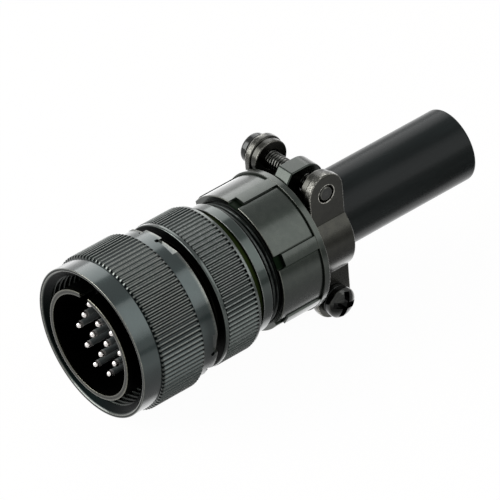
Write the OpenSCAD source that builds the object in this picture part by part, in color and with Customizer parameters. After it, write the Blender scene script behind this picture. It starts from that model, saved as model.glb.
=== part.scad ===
// Straight circular cable plug with a coupling nut, fourteen pins and a two-saddle cable clamp.
// +X runs from the mating rim to the cable end, +Z points to the keyway, the axis is level.

/* [Coupling nut] */
// Crest radius of the nut's knurl, from which the walls below lead inwards
nut_radius = 18.65; // [17:0.05:20.5]
// Distance from the barrel's mating rim back to the nut's front face
nut_setback = 0.85; // [0.3:0.05:2]
// Length of the nut
nut_length = 21; // [19:0.1:23]
// Length of the smooth band in front of the knurl
nut_band_length = 4.95; // [3:0.05:6]
// Length of the nut's knurl
nut_knurl_length = 11.7; // [9:0.1:13]
// Number of flutes round the nut
nut_flutes = 96; // [60:2:120]
// Depth of the knurled grooves on the nut and the end bell
knurl_depth = 0.45; // [0.3:0.05:0.6]
// How far the front band lies below the knurl's crests
nut_band_drop = 0.7; // [0.5:0.05:1.2]
// How far the rear skirt lies below the knurl's crests
nut_skirt_drop = 1; // [0.6:0.05:1.3]
// Wall between the front band and the crests of the coupling thread
nut_wall = 2.45; // [2:0.05:2.8]
// Width of the flat rim at the nut's front
nut_rim = 1.1; // [0.8:0.05:1.4]
// Depth of the counterbore in the nut's rear face
nut_counterbore = 1.5; // [1.3:0.1:1.8]
// Wall of the skirt round the counterbore
nut_skirt_wall = 1.45; // [1:0.05:1.8]
// Thickness of the nut's inner lip
nut_lip = 3.2; // [2.5:0.1:3.6]
// Number of tabs in the nut's rear edge
nut_tabs = 3; // [2:1:4]
// Width of a tab
nut_tab_width = 5.5; // [4:0.1:7]
// Angle from the keyway to the first tab
nut_tab_turn = -7; // [-40:1:40]
// Depth of the flats on both sides of a tab, where they meet it
nut_flat_depth = 0.8; // [0.4:0.05:0.9]
// Length of those flats from the rear edge
nut_flat_length = 1.4; // [0.8:0.1:1.4]
// Radius of the round hole at each foot of a tab
nut_tab_hole = 0.5; // [0.3:0.05:0.6]

/* [Shell] */
// Space between the coupling thread and the barrel
coupling_space = 2.2; // [2:0.05:2.6]
// Wall of the slotted barrel
barrel_wall = 1.1; // [0.9:0.05:1.3]
// Depth of the barrel in front of the insert
barrel_depth = 11.8; // [9:0.1:12.5]
// Width of the keyway in the barrel's top
key_width = 2.8; // [1.5:0.1:4]
// Length of the keyway
key_length = 8; // [4:0.5:10]
// How far the neck that the nut turns on stands above the barrel
neck_step = 0.6; // [0.4:0.05:0.8]
// Thickness of the shoulder in front of the nut's lip
shoulder = 2.6; // [1.5:0.1:3]
// How far the insert bore is wider than the barrel
insert_step = 0.3; // [0.2:0.05:0.4]
// Depth of the retaining ring's groove in the neck
ring_groove_depth = 0.7; // [0.4:0.05:0.8]
// How far the retaining ring stands above the neck
ring_height = 1.3; // [0.8:0.05:1.6]
// Width of the retaining ring's gap
ring_split = 3; // [1:0.1:5]
// Length of the shell from its rim to its rear end
shell_length = 31.5; // [29:0.1:34]

/* [Contacts and inserts] */
// Distance of the pin tips behind the rim
pin_setback = 2.5; // [1.5:0.1:5]
// Radius of a pin
pin_radius = 0.79; // [0.5:0.01:0.9]
// Radius of a contact's rear barrel and solder cup
cup_radius = 1.1; // [1:0.05:1.3]
// How far a contact's collar stands above its rear barrel
collar_step = 0.25; // [0.15:0.05:0.35]
// Length of a contact's collar
collar_width = 1.35; // [1:0.05:1.6]
// Wall of a solder cup
cup_wall = 0.3; // [0.2:0.05:0.4]
// Depth of a solder cup
cup_depth = 4; // [3:0.1:5]
// Length of the cut-away side of a solder cup
cup_opening = 2.4; // [1.5:0.1:3]
// Spacing of the contacts in their rows
pin_pitch = 4.75; // [4.2:0.05:5]
// Length of the solder cups behind the rear insert
cup_length = 5.4; // [4:0.1:6.5]
// Thickness of the front insert
front_insert_length = 4.5; // [3.5:0.1:5]
// Thickness of the rear insert
rear_insert_length = 8; // [6:0.1:8.5]
// Thickness of the ring that locks the inserts
lock_ring_length = 1.4; // [0.8:0.1:2]
// Wall of the ring that locks the inserts
lock_ring_wall = 0.9; // [0.6:0.05:1.2]

/* [End bell] */
// Wall of the end bell from the shell's thread to the crests of its knurl
bell_wall = 3.6; // [3:0.05:4]
// Open space between the nut and the end bell
bell_gap = 2.5; // [1:0.1:3.5]
// Length of the smooth rim in front of the end bell's knurl
bell_front_rim = 0.95; // [0.5:0.05:2]
// Length of the end bell's knurl
bell_knurl_length = 8.35; // [6:0.05:9]
// Number of flutes round the end bell
bell_flutes = 94; // [60:2:120]
// How far the rims on both sides of the knurl lie below its crests
bell_rim_drop = 0.15; // [0:0.05:0.4]
// Length of the rim behind the knurl
bell_rear_rim = 0.75; // [0.4:0.05:1.5]
// Length of the groove behind the rear rim
bell_groove = 2.2; // [1:0.1:3]
// Depth of that groove below the smooth band
bell_groove_depth = 0.6; // [0.3:0.05:0.7]
// Length of the smooth band behind the groove
bell_band = 2.55; // [1.5:0.05:3]
// How far the band stands above the rear thread
bell_band_step = 0.85; // [0.6:0.05:1.1]
// Height of the step inside the end bell behind the shell's thread
bell_step = 1.55; // [1:0.05:2]
// Wall of the end bell's tail under the crests of the rear thread
bell_tail_wall = 2.45; // [2:0.05:2.6]
// Length of the rear thread
rear_thread_length = 8.85; // [7:0.05:9]

/* [Cable clamp] */
// Exposed thread between the end bell's band and the clamp
clamp_gap = 2.45; // [1.2:0.05:3]
// Wall of the collar under its pads
clamp_wall = 1.6; // [1.3:0.05:2]
// How far the collar's ribs stand above its pads
rib_height = 0.5; // [0.2:0.05:0.6]
// Width of a rib
rib_width = 3; // [1.5:0.1:4]
// Angle of the first rib from the keyway
rib_turn = 3; // [0:0.5:30]
// Length of the notch at a rib's front end
rib_notch = 1.8; // [1:0.1:3]
// Depth of that notch below the pads
rib_notch_depth = 0.5; // [0.2:0.05:0.6]
// How far the notch is wider than its rib on each side
rib_notch_side = 0.1; // [0.05:0.05:0.4]
// Length of the flange ring at the collar's rear
flange_length = 1.5; // [1:0.1:2.5]
// How far the flange stands above the ribs
flange_step = 0.1; // [0.05:0.05:0.3]
// Thickness of the collar's rear wall
rear_wall = 3.4; // [2.5:0.1:3.7]
// Thickness of the slip washer in front of the bushing
slip_washer = 0.8; // [0.5:0.05:1]
// Width of the two lugs on the clamp body
body_lug_width = 4.6; // [3.5:0.1:5]
// Radius of the rounded end of a clamp body lug
body_lug_radius = 4.4; // [3.9:0.1:4.6]
// How far the upper body lug lies to the near side, and the lower one to the far side
body_lug_shift = 1.5; // [0:0.1:1.6]
// Length of the sloped front of a body lug
body_lug_slope = 1.7; // [1:0.1:2.2]

/* [Saddles and screws] */
// Distance from the tube's channel to the screws
screw_margin = 5.3; // [5:0.05:5.6]
// Distance of the screws behind the clamp's flange
screw_setback = 6; // [5.6:0.1:7]
// Width of a saddle along the cable
saddle_width = 9.7; // [8.5:0.1:10]
// Thickness of a saddle at its crown
saddle_wall = 4.1; // [3.7:0.05:4.4]
// How far the crown of a saddle stands out past its lugs
saddle_bulge = 3; // [2.6:0.1:3.3]
// Height from the axis at which a saddle's crown bends into its lugs
saddle_bend = 6.9; // [6.4:0.1:7.4]
// Thickness of a saddle's lug plate
lug_plate = 1.9; // [1.4:0.1:2.2]
// Length of the boss on the inside of a lug
lug_boss = 1.7; // [1:0.1:1.9]
// How far a boss is smaller than the round end of its lug
boss_drop = 0.35; // [0.1:0.05:0.8]
// How far the far saddle is slacked off
far_open = 2.2; // [2:0.1:3]
// Radius of a screw's shank
screw_radius = 2.08; // [1.7:0.02:2.2]
// Radius of a screw's head
head_radius = 3.7; // [3.2:0.05:4]
// Height of a screw's head
head_height = 3; // [2.4:0.1:3.5]
// Radius of the crown on a screw's head
head_crown = 10; // [6:0.5:14]
// Width of the slots in a screw's head
slot_width = 1.1; // [0.8:0.05:1.4]
// Depth of the slots in a screw's head
slot_depth = 1.3; // [0.8:0.1:1.8]
// Thickness of a lock washer
lock_washer = 1; // [0.8:0.05:1.2]
// Width of a lock washer's split
washer_split = 0.8; // [0.4:0.1:1.2]

/* [Bushing] */
// Outer radius of the rubber tube
tube_radius = 8.75; // [8:0.05:9.4]
// Inner radius of the rubber tube
tube_bore = 6.3; // [4.5:0.1:6.9]
// Length of the tube behind the clamp's flange
tail_length = 49.9; // [25:0.1:70]
// Thickness of the bushing's front flange
bushing_flange = 1.75; // [1.2:0.05:2.2]

/* [Fits and edges] */
// Radial running clearance of the nut on its neck
nut_fit = 0.08; // [0.03:0.01:0.1]
// Radial clearance of threads and pressed pieces
thread_fit = 0.05; // [0.02:0.01:0.1]
// Radial clearance of the shoulder inside the coupling thread
shoulder_clear = 0.35; // [0.2:0.05:0.5]
// How far a thread's crests lie below the plain diameter beside it
thread_relief = 0.1; // [0.05:0.05:0.2]
// Radial clearance of a screw's thread
screw_fit = 0.05; // [0.03:0.01:0.08]
// Radial clearance of a screw in a plain hole
screw_clear = 0.35; // [0.3:0.05:0.5]
// End play of the nut between its shoulder and ring
nut_play = 0.15; // [0.1:0.05:0.3]
// Axial clearance between stacked pieces
stack_gap = 0.15; // [0.1:0.05:0.2]
// Play on both sides of a lock washer
washer_play = 0.05; // [0.03:0.01:0.1]
// Space between the rubber tube and the metal round it
tube_gap = 0.15; // [0.1:0.05:0.3]
// Radial space round the bushing's flange
flange_space = 1; // [0.5:0.1:2]
// Chamfer of the nut's front rim
rim_edge = 0.15; // [0.05:0.05:0.4]
// Chamfer of turned edges
edge = 0.3; // [0.1:0.05:0.4]
// Chamfer of thread ends and knurl ends
thread_edge = 0.5; // [0.3:0.05:0.6]

/* [Hidden] */
$fn = 96;
// Overshoot of cutting shapes
past = 1;

// Radii, from the nut's knurl inwards and on to the end bell and the clamp
nut_band_radius = nut_radius - nut_band_drop;
nut_skirt_radius = nut_radius - nut_skirt_drop;
counterbore_radius = nut_skirt_radius - nut_skirt_wall;
nut_thread_radius = nut_band_radius - nut_wall;
shoulder_radius = nut_thread_radius - shoulder_clear;
barrel_radius = nut_thread_radius - coupling_space;
barrel_bore = barrel_radius - barrel_wall;
insert_bore = barrel_bore + insert_step;
insert_radius = insert_bore - thread_fit;
neck_radius = barrel_radius + neck_step;
ring_groove = neck_radius - ring_groove_depth;
collar_radius = cup_radius + collar_step;
shell_thread_radius = neck_radius - thread_relief;
bell_bore = shell_thread_radius + thread_fit;
bell_radius = bell_bore + bell_wall;
bell_rim_radius = bell_radius - bell_rim_drop;
wire_space = bell_bore - bell_step;
rear_thread_radius = wire_space + bell_tail_wall;
bell_band_radius = rear_thread_radius + bell_band_step;
bell_groove_radius = bell_band_radius - bell_groove_depth;
clamp_bore = rear_thread_radius + thread_fit;
pad_radius = clamp_bore + clamp_wall;
rib_radius = pad_radius + rib_height;
flange_radius = rib_radius + flange_step;
bushing_flange_radius = clamp_bore - flange_space;
channel_radius = tube_radius + tube_gap;

// Stations along the axis
nut_end = nut_setback + nut_length;
nut_knurl_start = nut_setback + nut_band_length;
nut_knurl_end = nut_knurl_start + nut_knurl_length;
lip_end = nut_end - nut_counterbore;
lip_start = lip_end - nut_lip;
shoulder_end = lip_start - nut_play;
ring_start = lip_end + nut_play;
ring_length = nut_end - nut_play - ring_start;
insert_start = barrel_depth + stack_gap;
insert_joint = insert_start + front_insert_length;
rear_insert_start = insert_joint + stack_gap;
rear_insert_end = rear_insert_start + rear_insert_length;
lock_ring_start = rear_insert_end + stack_gap;
cup_end = rear_insert_end + cup_length;
bell_start = nut_end + bell_gap;
bell_knurl_start = bell_start + bell_front_rim;
bell_knurl_end = bell_knurl_start + bell_knurl_length;
bell_rim_end = bell_knurl_end + bell_rear_rim;
bell_groove_end = bell_rim_end + bell_groove;
bell_band_end = bell_groove_end + bell_band;
bell_end = bell_band_end + rear_thread_length;
bell_thread_end = shell_length + thread_edge;
clamp_start = bell_band_end + clamp_gap;
washer_start = bell_end + stack_gap;
bushing_start = washer_start + slip_washer + stack_gap;
bushing_flange_end = bushing_start + bushing_flange;
wall_start = bushing_flange_end + stack_gap;
clamp_end = wall_start + rear_wall;
collar_length = clamp_end - clamp_start;
tube_end = clamp_end + tail_length;

// Places on the clamp: the screws, the lugs' faces and the circle of a saddle's crown
screw_x = clamp_end + screw_setback;
screw_offset = channel_radius + screw_margin;
lug_round = saddle_width/2;
lug_top = screw_offset + body_lug_radius;
saddle_face = channel_radius + saddle_wall - saddle_bulge;
bulge_radius = (saddle_bulge*saddle_bulge + saddle_bend*saddle_bend)/(2*saddle_bulge);
bulge_centre = saddle_face + saddle_bulge - bulge_radius;
boss_face = saddle_face - lug_plate - lug_boss;
washer_seat = saddle_face + far_open + washer_play;
head_seat = washer_seat + lock_washer + washer_play;
screw_length = saddle_face + head_seat;

// Contact places: rows of two, three, four, three and two across the keyway direction
contact_rows = [2, 3, 4, 3, 2];
contact_at = [for (i = [0:4]) for (j = [0:contact_rows[i] - 1])
  [(j - (contact_rows[i] - 1)/2)*pin_pitch, (2 - i)*pin_pitch*sqrt(3)/2]];

// Outline with flat crests and narrow grooves, for a straight knurl
function flutes(n, crest, root) = [for (i = [0:n - 1]) for (k = [0:2])
  let (a = 360/n*(i + [-0.31, 0.31, 0.5][k]), r = [crest, crest, root][k]) [r*cos(a), r*sin(a)]];

// Places a shape drawn up Z along +X from x
module along(x) {
  translate([x, 0, 0]) rotate([0, 90, 0]) children();
}

// Solid turned about the plug's axis from [radius, x] points
module turned(points) {
  along(0) rotate_extrude() polygon(points);
}

// Ring about the plug's axis
module ring(x, length, outer, inner) {
  along(x) difference() {
    cylinder(r = outer, h = length);
    translate([0, 0, -past]) cylinder(r = inner, h = length + 2*past);
  }
}

// Cylinder from y0 towards -Y at one screw's place
module across(y0, length, radius, side) {
  translate([screw_x, y0, side*screw_offset]) rotate([90, 0, 0]) cylinder(r = radius, h = length);
}

// Flat outline in X and Z, thickened from y0 towards -Y
module plate(y0, thickness) {
  translate([0, y0, 0]) rotate([90, 0, 0]) linear_extrude(thickness) children();
}

// Block from x that stands up from the radius z, across the middle of a turned face
module block(x, length, width, z, height) {
  translate([x, -width/2, z]) cube([length, width, height]);
}

// Free-turning nut: smooth band, knurl, and a skirt with flats and round holes beside its tabs
module coupling_nut() color([0.24, 0.27, 0.26]) {
  root = nut_radius - knurl_depth;
  crest = nut_radius + thread_relief;
  difference() {
    union() {
      turned([[0, nut_setback], [nut_band_radius - rim_edge, nut_setback],
        [nut_band_radius, nut_setback + rim_edge], [nut_band_radius, nut_knurl_end - thread_edge],
        [nut_skirt_radius, nut_knurl_end], [nut_skirt_radius, nut_end - edge],
        [nut_skirt_radius - edge, nut_end], [0, nut_end]]);
      intersection() {
        along(nut_knurl_start) linear_extrude(nut_knurl_length)
          polygon(flutes(nut_flutes, nut_radius, root));
        turned([[0, nut_knurl_start], [root, nut_knurl_start], [crest, nut_knurl_start + thread_edge],
          [crest, nut_knurl_end - thread_edge], [root, nut_knurl_end], [0, nut_knurl_end]]);
      }
    }
    turned([[0, nut_setback - past], [nut_band_radius - nut_rim, nut_setback - past],
      [nut_band_radius - nut_rim, nut_setback], [nut_thread_radius, nut_setback + nut_wall - nut_rim],
      [nut_thread_radius, lip_start], [neck_radius + nut_fit, lip_start],
      [neck_radius + nut_fit, lip_end], [counterbore_radius, lip_end],
      [counterbore_radius, nut_end + past], [0, nut_end + past]]);
    for (i = [0:nut_tabs - 1], side = [-1, 1])
      rotate([nut_tab_turn + 360/nut_tabs*i + side*asin(nut_tab_width/2/nut_skirt_radius), 0, 0]) {
        translate([0, -side*nut_skirt_radius/2, 0])
          block(nut_end - nut_flat_length, nut_flat_length + past, nut_skirt_radius,
            nut_skirt_radius - nut_flat_depth, nut_flat_depth + past);
        translate([nut_end - nut_flat_length, 0, counterbore_radius - past])
          cylinder(r = nut_tab_hole, h = nut_skirt_wall + 2*past, $fn = 32);
      }
  }
}

// Snap ring that keeps the nut on the shell
module nut_retaining_ring() color([0.5, 0.51, 0.5])
  difference() {
    ring(ring_start, ring_length, neck_radius + ring_height, ring_groove + thread_fit);
    rotate([180, 0, 0]) block(ring_start - past, ring_length + 2*past, ring_split,
      ring_groove - past, ring_groove_depth + ring_height + 2*past);
  }

// Slotted barrel, shoulder, neck and rear thread
module plug_shell() color([0.2, 0.22, 0.21])
  difference() {
    turned([[barrel_bore, 0], [barrel_radius - edge, 0], [barrel_radius, edge],
      [barrel_radius, shoulder_end - shoulder], [shoulder_radius, shoulder_end - shoulder],
      [shoulder_radius, shoulder_end], [neck_radius, shoulder_end], [neck_radius, ring_start],
      [ring_groove, ring_start], [ring_groove, ring_start + ring_length],
      [shell_thread_radius, ring_start + ring_length], [shell_thread_radius, shell_length - thread_edge],
      [shell_thread_radius - thread_edge, shell_length], [insert_bore, shell_length],
      [insert_bore, barrel_depth], [barrel_bore, barrel_depth]]);
    block(-past, key_length + past, key_width, barrel_bore - past, barrel_wall + 2*past);
  }

// Insulator that faces the mating side, with a pocket for each contact's collar
module front_insert() color([0.08, 0.1, 0.09])
  difference() {
    along(insert_start) cylinder(r = insert_radius, h = front_insert_length);
    for (p = contact_at) translate([0, p[0], p[1]]) {
      along(insert_start - past)
        cylinder(r = pin_radius + thread_fit, h = front_insert_length + 2*past, $fn = 32);
      along(insert_joint - collar_width - 2*thread_fit)
        cylinder(r = collar_radius + thread_fit, h = collar_width + past, $fn = 32);
    }
  }

// Insulator behind the contacts' collars
module rear_insert() color([0.09, 0.11, 0.1])
  difference() {
    along(rear_insert_start) cylinder(r = insert_radius, h = rear_insert_length);
    for (p = contact_at) translate([0, p[0], p[1]]) along(rear_insert_start - past)
      cylinder(r = cup_radius + thread_fit, h = rear_insert_length + 2*past, $fn = 32);
  }

// Ring pressed behind the inserts
module insert_lock_ring() color([0.5, 0.51, 0.5])
  ring(lock_ring_start, lock_ring_length, insert_radius, insert_bore - lock_ring_wall);

// Pin with a round tip, a collar held between the inserts, and a solder cup
module contact(i) color([0.85, 0.84, 0.8])
  translate([0, contact_at[i][0], contact_at[i][1]]) difference() {
    tip = pin_setback + pin_radius;
    collar_start = insert_joint - collar_width - thread_fit;
    union() {
      translate([tip, 0, 0]) sphere(r = pin_radius, $fn = 32);
      along(tip) cylinder(r = pin_radius, h = insert_joint - tip - collar_width/2, $fn = 32);
      along(collar_start) cylinder(r = collar_radius, h = collar_width, $fn = 32);
      along(collar_start + collar_width/2)
        cylinder(r = cup_radius, h = cup_end - collar_start - collar_width/2, $fn = 32);
    }
    along(cup_end - cup_depth) cylinder(r = cup_radius - cup_wall, h = cup_depth + past, $fn = 32);
    block(cup_end - cup_opening, cup_opening + past, 4*cup_radius, 0, 2*cup_radius);
  }

// Knurled back shell with a groove, a smooth band and the rear thread's core
module end_bell() color([0.22, 0.24, 0.22]) {
  root = bell_radius - knurl_depth;
  difference() {
    union() {
      turned([[0, bell_start], [bell_rim_radius - edge, bell_start], [bell_rim_radius, bell_start + edge],
        [bell_rim_radius, bell_knurl_start], [root - knurl_depth/2, bell_knurl_start],
        [root - knurl_depth/2, bell_knurl_end], [bell_rim_radius, bell_knurl_end],
        [bell_rim_radius, bell_rim_end - edge], [bell_rim_radius - edge, bell_rim_end],
        [bell_groove_radius, bell_rim_end], [bell_groove_radius, bell_groove_end],
        [bell_band_radius - edge, bell_groove_end], [bell_band_radius, bell_groove_end + edge],
        [bell_band_radius, bell_band_end - edge], [bell_band_radius - edge, bell_band_end],
        [rear_thread_radius, bell_band_end], [rear_thread_radius, bell_end - thread_edge],
        [rear_thread_radius - thread_edge, bell_end], [0, bell_end]]);
      along(bell_knurl_start) linear_extrude(bell_knurl_length)
        polygon(flutes(bell_flutes, bell_radius, root));
    }
    turned([[0, bell_start - past], [bell_bore, bell_start - past], [bell_bore, bell_thread_end],
      [wire_space, bell_thread_end + bell_step], [wire_space, bell_end + past], [0, bell_end + past]]);
  }
}

// Loose ring between the end bell and the bushing's flange
module slip_washer_ring() color([0.55, 0.55, 0.52])
  ring(washer_start, slip_washer, bushing_flange_radius, (tube_bore + tube_radius)/2);

// Rubber tube with a flange held in the clamp
module bushing() color([0.06, 0.07, 0.08])
  turned([[tube_bore, bushing_start], [bushing_flange_radius - edge, bushing_start],
    [bushing_flange_radius, bushing_start + edge], [bushing_flange_radius, bushing_flange_end - edge],
    [bushing_flange_radius - edge, bushing_flange_end], [tube_radius, bushing_flange_end],
    [tube_radius, tube_end - thread_edge], [tube_radius - thread_edge, tube_end],
    [tube_bore + edge, tube_end], [tube_bore, tube_end - edge]]);

// One lug of the clamp body: a plate with a sloped front and a round end
module body_lug(side) {
  plate(body_lug_width/2 - side*body_lug_shift, body_lug_width) {
    translate([screw_x, side*screw_offset]) circle(r = body_lug_radius);
    polygon([[wall_start, side*channel_radius], [screw_x, side*(screw_offset - body_lug_radius)],
      [screw_x, side*lug_top], [clamp_end + body_lug_slope, side*lug_top],
      [clamp_end, side*(pad_radius - edge)], [wall_start, side*(pad_radius - edge)]]);
  }
}

// Ribbed collar with a rear flange and two drilled lugs
module clamp_body() color([0.42, 0.43, 0.39])
  difference() {
    union() {
      turned([[0, clamp_start], [pad_radius - edge, clamp_start], [pad_radius, clamp_start + edge],
        [pad_radius, clamp_end - flange_length], [flange_radius, clamp_end - flange_length],
        [flange_radius, clamp_end - edge], [flange_radius - edge, clamp_end], [0, clamp_end]]);
      intersection() {
        along(clamp_start) cylinder(r = rib_radius, h = collar_length - flange_length/2);
        for (i = [0:5]) rotate([60*i + rib_turn, 0, 0])
          block(clamp_start, collar_length - flange_length/2, rib_width,
            clamp_bore + clamp_wall/2, clamp_wall + rib_height);
      }
      for (side = [-1, 1]) body_lug(side);
    }
    for (i = [0:5]) rotate([60*i + rib_turn, 0, 0])
      block(clamp_start - past, rib_notch + past, rib_width + 2*rib_notch_side,
        pad_radius - rib_notch_depth, rib_notch_depth + rib_height + past);
    turned([[0, clamp_start - past], [clamp_bore, clamp_start - past], [clamp_bore, wall_start],
      [channel_radius, wall_start], [channel_radius, screw_x + 2*body_lug_radius],
      [0, screw_x + 2*body_lug_radius]]);
    for (side = [-1, 1])
      across(2*body_lug_width, 4*body_lug_width, screw_radius + screw_clear, side);
  }

// Saddle for the -Y side: curved middle and two round lugs, the upper one tapped and the lower one drilled
module saddle() difference() {
  union() {
    intersection() {
      translate([0, -bulge_centre, 0]) along(screw_x - lug_round)
        cylinder(r = bulge_radius, h = saddle_width);
      translate([screw_x - lug_round, -saddle_face - 2*saddle_bulge, -saddle_bend])
        cube([saddle_width, saddle_face + 2*saddle_bulge - boss_face, 2*saddle_bend]);
    }
    for (side = [-1, 1]) {
      plate(-saddle_face + lug_plate, lug_plate) {
        translate([screw_x, side*screw_offset]) circle(r = lug_round);
        translate([screw_x - lug_round, side > 0 ? saddle_bend - past : -screw_offset])
          square([saddle_width, screw_offset - saddle_bend + past]);
      }
      across(-boss_face, lug_boss + lug_plate/2, lug_round - boss_drop, side);
    }
  }
  along(screw_x - saddle_width) cylinder(r = channel_radius, h = 2*saddle_width);
  across(0, 2*saddle_face, screw_radius + screw_fit, 1);
  across(0, 2*saddle_face, screw_radius + screw_clear, -1);
}

// Turns a piece of the clamp half round the axis, to the slacked-off far side
module far_side() {
  translate([0, far_open, 0]) rotate([180, 0, 0]) children();
}

// Saddle on the near side, seated on the tube
module near_saddle() color([0.4, 0.41, 0.37]) saddle();

// Same saddle on the far side
module far_saddle() color([0.4, 0.41, 0.37]) far_side() saddle();

// Screw whose head is on the +Y side: shank, round head with crossed slots
module screw() color([0.36, 0.37, 0.34]) {
  across(head_seat, screw_length - edge, screw_radius, 1);
  across(head_seat - screw_length + edge, edge, screw_radius - edge, 1);
  difference() {
    intersection() {
      across(head_seat + head_height, head_height, head_radius, 1);
      translate([screw_x, head_seat + head_height - head_crown, screw_offset]) sphere(r = head_crown);
    }
    translate([screw_x, head_seat + head_height, screw_offset]) rotate([0, 20, 0]) {
      cube([slot_width, 2*slot_depth, 3*head_radius], center = true);
      cube([1.3*head_radius, 2*slot_depth, slot_width], center = true);
    }
  }
}

// Split ring under a screw head
module washer() color([0.3, 0.31, 0.3])
  difference() {
    across(washer_seat + lock_washer, lock_washer, head_radius - thread_relief, 1);
    across(washer_seat + lock_washer + past, lock_washer + 2*past, screw_radius + screw_clear, 1);
    translate([screw_x + screw_radius/2, washer_seat - past, screw_offset - washer_split/2])
      cube([head_radius, lock_washer + 2*past, washer_split]);
  }

// Screw through the far saddle, threaded into the near one
module upper_screw() screw();

// Screw through the near saddle, threaded into the far one
module lower_screw() far_side() screw();

// Lock washer of the upper screw
module upper_lock_washer() washer();

// Lock washer of the lower screw
module lower_lock_washer() far_side() washer();

coupling_nut();
nut_retaining_ring();
plug_shell();
front_insert();
rear_insert();
insert_lock_ring();
contact(0);  // contact_01
contact(1);  // contact_02
contact(2);  // contact_03
contact(3);  // contact_04
contact(4);  // contact_05
contact(5);  // contact_06
contact(6);  // contact_07
contact(7);  // contact_08
contact(8);  // contact_09
contact(9);  // contact_10
contact(10);  // contact_11
contact(11);  // contact_12
contact(12);  // contact_13
contact(13);  // contact_14
end_bell();
slip_washer_ring();
bushing();
clamp_body();
near_saddle();
far_saddle();
upper_screw();
lower_screw();
upper_lock_washer();
lower_lock_washer();
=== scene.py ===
import math

import bmesh
import bpy
import numpy as np
from mathutils import Matrix, Vector


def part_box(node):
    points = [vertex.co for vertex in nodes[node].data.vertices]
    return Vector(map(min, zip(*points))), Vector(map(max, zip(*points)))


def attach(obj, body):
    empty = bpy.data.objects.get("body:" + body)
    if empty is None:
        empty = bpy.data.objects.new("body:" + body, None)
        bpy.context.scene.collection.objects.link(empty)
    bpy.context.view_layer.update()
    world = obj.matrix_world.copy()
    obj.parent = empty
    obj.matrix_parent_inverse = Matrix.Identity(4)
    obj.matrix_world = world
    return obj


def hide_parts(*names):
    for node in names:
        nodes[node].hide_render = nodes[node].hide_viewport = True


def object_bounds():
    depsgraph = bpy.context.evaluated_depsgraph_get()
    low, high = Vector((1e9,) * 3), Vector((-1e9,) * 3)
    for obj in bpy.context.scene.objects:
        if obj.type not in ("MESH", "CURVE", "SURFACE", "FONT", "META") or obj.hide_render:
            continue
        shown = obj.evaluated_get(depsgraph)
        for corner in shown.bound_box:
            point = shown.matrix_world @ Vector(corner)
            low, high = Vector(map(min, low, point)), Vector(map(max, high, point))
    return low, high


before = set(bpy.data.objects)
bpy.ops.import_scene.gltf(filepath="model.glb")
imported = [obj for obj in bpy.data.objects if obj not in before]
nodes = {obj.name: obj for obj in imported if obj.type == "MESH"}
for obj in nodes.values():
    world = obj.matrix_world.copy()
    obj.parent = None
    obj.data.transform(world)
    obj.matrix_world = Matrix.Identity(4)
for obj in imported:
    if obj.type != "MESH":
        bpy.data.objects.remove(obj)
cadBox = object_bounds()  # the solids' own box
mm = 0.001  # shapes below are drawn in millimetres
print("frame loaded,", len(nodes), "nodes")


# turned shapes

nearby, touching = 0.01, 0.001  # rows this close to a place count as there
edgeRounding = {"steps": 4, "least": 0.004, "mostOfFace": 0.45, "rubWidth": 0.06, "rubFade": 0.6,
                "longFace": 1.0}


def span(node):
    low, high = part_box(node)
    return low / mm, high / mm


def roundedRows(corners):
    # corners are (x, radius, rounding, wear); rows come out as (x, radius, wear)
    e = edgeRounding
    rows = []
    for i, (x, r, rounding, wear) in enumerate(corners):
        here = Vector((x, r))
        before = Vector(corners[i - 1][:2]) - here
        after = Vector(corners[(i + 1) % len(corners)][:2]) - here
        reach = min(rounding, e["mostOfFace"] * before.length, e["mostOfFace"] * after.length)
        if reach < e["least"]:
            rows.append((x, r, wear))
            continue
        start = here + before.normalized() * reach
        end = here + after.normalized() * reach
        stop = reach + e["rubWidth"]  # the rubbed edge ends here where the face beside it is long
        if wear and before.length > e["longFace"]:
            rows.append((*(here + before.normalized() * stop), 0))
        for k in range(e["steps"] + 1):
            t = k / e["steps"]
            p = start * (1 - t) ** 2 + here * 2 * t * (1 - t) + end * t * t
            rows.append((p.x, p.y, wear * (1 - e["rubFade"] * abs(2 * t - 1))))
        if wear and after.length > e["longFace"]:
            rows.append((*(here + after.normalized() * stop), 0))
    return rows


def turnedPoints(rows, segments, warp=None):
    # rings about +X; the angle runs from +Z towards -Y
    # a warp gets a ring's x, radius and angle, and gives x, radius, depth and at times wear
    angle = np.arange(segments) * math.tau / segments
    points, wear, depth = [], [], []
    for x, r, w in rows:
        xs, rs = np.full(segments, x), np.full(segments, r)
        ds, ws = np.zeros(segments), np.full(segments, w)
        if warp:
            xs, rs, ds, *rubbed = warp(xs, rs, angle)
            ws = np.maximum(ws, *rubbed) if rubbed else ws
        points.append(np.stack((xs, -rs * np.sin(angle), rs * np.cos(angle)), 1))
        wear.append(ws)
        depth.append(ds)
    return np.concatenate(points), np.concatenate(wear), np.concatenate(depth)


def ringQuads(first, rings, segments, closed=False):
    quads = []
    j = np.arange(segments)
    k = (j + 1) % segments
    for i in range(rings if closed else rings - 1):
        a = first + i * segments
        b = first + (i + 1) % rings * segments
        quads.append(np.stack((a + j, a + k, b + k, b + j), 1))
    return np.concatenate(quads).tolist()


def endCaps(pointCount, segments):
    return [list(range(segments)), list(range(pointCount - segments, pointCount))]


def joinRings(fine, fineCount, coarse, coarseCount):
    # many-sided faces between a fine ring and a coarser one
    share = fineCount // coarseCount
    faces = []
    for j in range(coarseCount):
        edge = [fine + (j * share + i) % fineCount for i in range(share + 1)]
        faces.append(edge + [coarse + (j + 1) % coarseCount, coarse + j])
    return faces


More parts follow.
